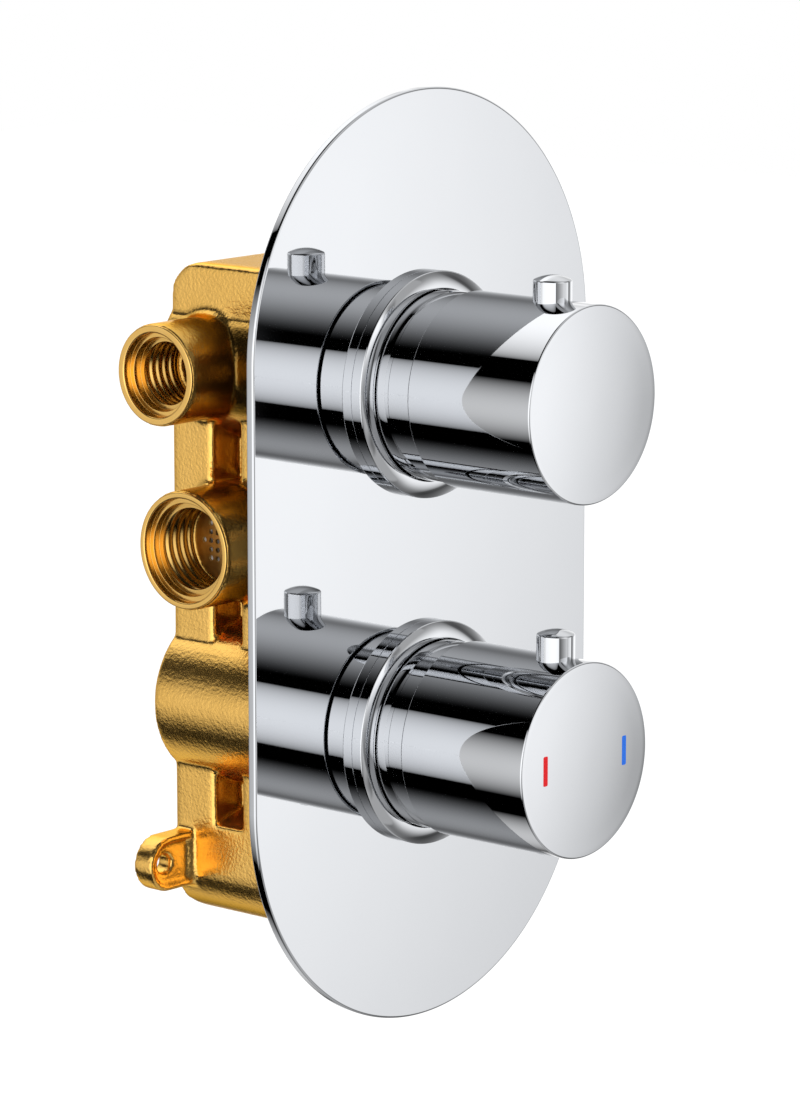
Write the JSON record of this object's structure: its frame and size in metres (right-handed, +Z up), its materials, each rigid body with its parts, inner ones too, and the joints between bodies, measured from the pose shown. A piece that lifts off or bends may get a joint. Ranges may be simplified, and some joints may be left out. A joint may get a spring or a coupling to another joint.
{
  "type": "concealed thermostatic shower valve",
  "caption": "Concealed shower valve: a tall round-ended cover plate with an upper diverter handle and a lower temperature handle on a cast body with threaded side ports.",
  "frame": {"origin": "centre of the cover plate's rear face, which rests on the finished wall", "axes": "+X to the right as the user faces the plate, +Y into the wall, +Z up along the plate"},
  "size_m": [0.146, 0.1463, 0.27],
  "materials": {
    "polished_chrome": "mirror-polished chrome plate",
    "cast_brass": "sand-cast skin, bright at the machined ports",
    "turned_brass": "turned and milled",
    "steel": "bright drawn",
    "ceramic": "lapped alumina, off-white",
    "white_plastic": "moulded, off-white",
    "rubber": "smooth black rubber",
    "red_mark": "red enamel",
    "blue_mark": "blue enamel",
    "copper": "copper capsule"
  },
  "bodies": {
    "valve": {"face_plate": "polished_chrome", "plate_gasket": "rubber", "collar_upper": "polished_chrome", "collar_lower": "polished_chrome", "collar_nuts": "turned_brass", "collar_o_rings": "rubber", "sleeve_upper": "polished_chrome", "sleeve_lower": "polished_chrome", "index_rings": "polished_chrome", "limit_ring": "white_plastic", "valve_body": "cast_brass", "cartridge_nut_upper": "turned_brass", "cartridge_nut_lower": "turned_brass", "diverter_housing": "white_plastic", "fixed_disc": "ceramic", "disc_seal": "rubber", "thermostat_housing": "turned_brass", "return_spring": "steel", "cartridge_cap": "turned_brass", "cartridge_o_rings": "rubber", "check_valve_left": "white_plastic", "check_valve_right": "white_plastic", "poppet_spring_left": "steel", "poppet_spring_right": "steel", "inlet_strainers": "steel"},
    "upper_handle": {"knob_upper": "polished_chrome", "lever_pin_upper": "polished_chrome", "knob_insert_upper": "white_plastic", "grub_screw_upper": "steel", "diverter_spindle": "turned_brass", "diverter_spindle_rings": "rubber", "moving_disc": "ceramic"},
    "lower_handle": {"knob_lower": "polished_chrome", "lever_pin_lower": "polished_chrome", "knob_insert_lower": "white_plastic", "grub_screw_lower": "steel", "hot_mark": "red_mark", "cold_mark": "blue_mark", "button_spring": "steel", "thermostat_spindle": "turned_brass", "thermostat_spindle_rings": "rubber"},
    "button": {"override_button": "polished_chrome"},
    "regulator": {"drive_nut": "turned_brass", "overload_spring": "steel", "spring_cup": "turned_brass", "wax_element": "copper", "shuttle": "white_plastic"},
    "left_poppet": {"poppet_left": "white_plastic"},
    "right_poppet": {"poppet_right": "white_plastic"}
  },
  "joints": [
    {"name": "upper_turn", "type": "hinge", "parent": "valve", "child": "upper_handle", "pos_m": [0, -0.04, 0.05065], "axis": [0, -1, 0], "range_deg": [-90, 90]},
    {"name": "lower_turn", "type": "hinge", "parent": "valve", "child": "lower_handle", "pos_m": [0, -0.04, -0.05065], "axis": [0, -1, 0], "range_deg": [-150, 60]},
    {"name": "button_press", "type": "slide", "parent": "lower_handle", "child": "button", "axis": [0, 0, 1], "range_m": [0, 0.0012], "stiffness_N_per_m": 800, "springref_m": -0.0005, "deforming": ["button_spring"]},
    {"name": "regulator_slide", "type": "slide", "parent": "valve", "child": "regulator", "axis": [0, -1, 0], "range_m": [-0.0017, 0.0007], "deforming": ["return_spring"]},
    {"name": "left_check_slide", "type": "slide", "parent": "valve", "child": "left_poppet", "axis": [1, 0, 0], "range_m": [0, 0.0026], "stiffness_N_per_m": 150, "springref_m": -0.001, "deforming": ["poppet_spring_left"]},
    {"name": "right_check_slide", "type": "slide", "parent": "valve", "child": "right_poppet", "axis": [-1, 0, 0], "range_m": [0, 0.0026], "stiffness_N_per_m": 150, "springref_m": -0.001, "deforming": ["poppet_spring_right"]}
  ],
  "couplings": [
    {"joint": "regulator_slide", "follows": "lower_turn", "m_per_rad": 0.0006366}
  ]
}
